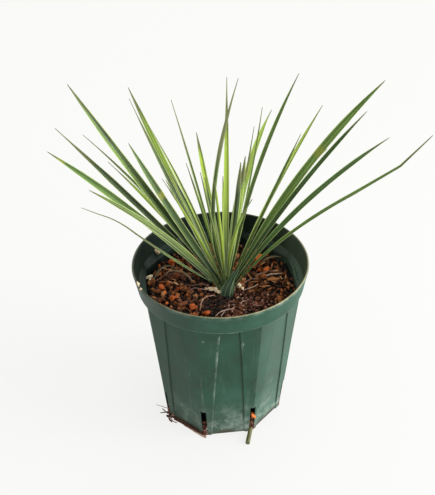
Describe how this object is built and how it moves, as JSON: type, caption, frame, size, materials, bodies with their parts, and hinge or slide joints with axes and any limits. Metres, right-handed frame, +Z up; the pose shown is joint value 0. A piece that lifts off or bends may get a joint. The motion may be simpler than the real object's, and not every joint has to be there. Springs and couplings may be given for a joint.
{
  "type": "potted mexican grass tree",
  "caption": "Young mexican grass tree, a rosette of stiff narrow leaves on a short crown, in a round-rimmed, pleated, slitted green nursery pot of granular substrate.",
  "frame": {"origin": "on the pot's axis, on the flat underside of its base, where the pot stands", "axes": "+Z up along the pot's axis; -Y towards the side the picture was taken from; +X to the right in the picture"},
  "size_m": [0.249, 0.196, 0.2677],
  "materials": {
    "pot_plastic": "satin",
    "substrate": "matte",
    "crown": "satin",
    "leaf": "satin",
    "dry_leaf": "matte",
    "granule": "matte",
    "bark": "matte",
    "root": "matte"
  },
  "bodies": {
    "root": {"pot": "pot_plastic", "substrate": "substrate", "crown": "crown", "leaf_01": "leaf", "leaf_02": "leaf", "leaf_03": "leaf", "leaf_04": "leaf", "leaf_05": "leaf", "leaf_06": "leaf", "leaf_07": "leaf", "leaf_08": "leaf", "leaf_09": "leaf", "leaf_10": "leaf", "leaf_11": "leaf", "leaf_12": "leaf", "leaf_13": "leaf", "leaf_14": "leaf", "leaf_15": "leaf", "leaf_16": "leaf", "leaf_17": "leaf", "leaf_18": "leaf", "leaf_19": "leaf", "leaf_20": "leaf", "leaf_21": "leaf", "leaf_22": "leaf", "leaf_23": "leaf", "leaf_24": "leaf", "leaf_25": "leaf", "leaf_26": "leaf", "leaf_27": "leaf", "leaf_28": "leaf", "leaf_29": "leaf", "leaf_30": "leaf", "leaf_31": "leaf", "leaf_32": "leaf", "leaf_33": "leaf", "leaf_34": "leaf", "leaf_35": "leaf", "leaf_36": "leaf", "leaf_37": "leaf", "leaf_38": "leaf", "leaf_39": "leaf", "leaf_40": "leaf", "leaf_41": "leaf", "leaf_42": "leaf", "leaf_43": "leaf", "dry_leaf_01": "dry_leaf", "dry_leaf_02": "dry_leaf", "dry_leaf_03": "dry_leaf", "dry_leaf_04": "dry_leaf", "stone_01": "granule", "stone_02": "granule", "stone_03": "granule", "stone_04": "granule", "stone_05": "granule", "stone_06": "granule", "stone_07": "granule", "bark_01": "bark", "bark_02": "bark", "root_stub": "root"}
  },
  "joints": []
}
